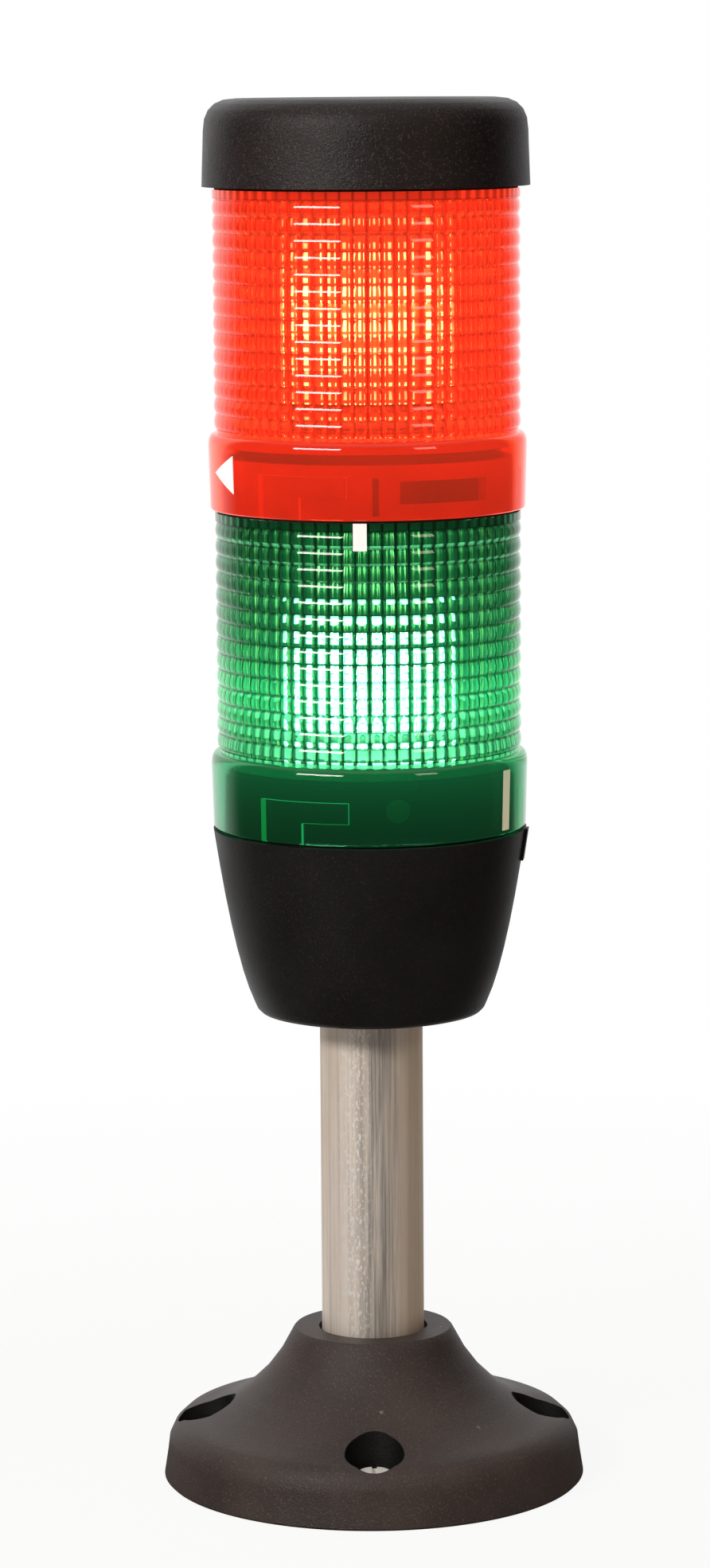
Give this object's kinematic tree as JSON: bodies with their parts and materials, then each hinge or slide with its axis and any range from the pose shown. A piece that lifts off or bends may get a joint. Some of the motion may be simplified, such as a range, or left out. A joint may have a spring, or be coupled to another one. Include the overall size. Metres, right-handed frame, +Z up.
{
  "type": "stack light",
  "caption": "Signal tower with a red and a green ribbed light module on a terminal bowl, an aluminium tube and a round screw-down foot.",
  "frame": {"origin": "centre of the foot's flat underside", "axes": "+Z up along the tube towards the cap, -Y is the front"},
  "size_m": [0.103, 0.103, 0.3354],
  "materials": {
    "foot_plastic": "fine spark-eroded texture, matte",
    "bowl_plastic": "fine spark-eroded texture, matte",
    "cap_plastic": "fine spark-eroded texture, matte",
    "tube_aluminium": "bare extruded, streaked",
    "green_lens_plastic": "clear tinted polycarbonate, ribbed",
    "red_lens_plastic": "clear tinted polycarbonate, ribbed",
    "inner_plastic": "natural, satin",
    "black_inner_plastic": "satin",
    "terminal_plastic": "satin",
    "seal_rubber": "matte",
    "zinc_steel": "zinc plated",
    "contact_brass": "tinned brass",
    "nickel_brass": "nickel plated",
    "led_white": "translucent LED package, lit"
  },
  "bodies": {
    "base": {"foot": "foot_plastic", "tube": "tube_aluminium", "terminal_bowl": "bowl_plastic", "tube_lock_screw": "zinc_steel", "base_plate": "black_inner_plastic", "base_plate_screws": "zinc_steel", "base_seal": "seal_rubber", "terminal_block": "terminal_plastic", "terminal_screws": "zinc_steel", "base_contact_strips": "contact_brass"},
    "green_module": {"green_lens": "green_lens_plastic", "green_carrier": "inner_plastic", "green_lamp_holder": "nickel_brass", "green_holder_insulator": "inner_plastic", "green_holder_contacts": "contact_brass", "green_lamp_cap": "nickel_brass", "green_lamp_body": "inner_plastic", "green_leds": "led_white", "green_contact_strips": "contact_brass", "green_top_plate": "inner_plastic", "green_seal": "seal_rubber"},
    "red_module": {"red_lens": "red_lens_plastic", "red_carrier": "inner_plastic", "red_lamp_holder": "nickel_brass", "red_holder_insulator": "inner_plastic", "red_holder_contacts": "contact_brass", "red_lamp_cap": "nickel_brass", "red_lamp_body": "inner_plastic", "red_leds": "led_white", "red_contact_strips": "contact_brass", "red_top_plate": "inner_plastic", "red_seal": "seal_rubber"},
    "cap_unit": {"cap": "cap_plastic"}
  },
  "joints": [
    {"name": "green_twist", "type": "hinge", "parent": "base", "child": "green_module", "pos_m": [0, 0, 0.1615], "axis": [0, 0, 1], "range_deg": [0, 18]},
    {"name": "red_twist", "type": "hinge", "parent": "green_module", "child": "red_module", "pos_m": [0, 0, 0.2381], "axis": [0, 0, 1], "range_deg": [0, 18]},
    {"name": "cap_twist", "type": "hinge", "parent": "red_module", "child": "cap_unit", "pos_m": [0, 0, 0.3147], "axis": [0, 0, 1], "range_deg": [0, 18]}
  ]
}
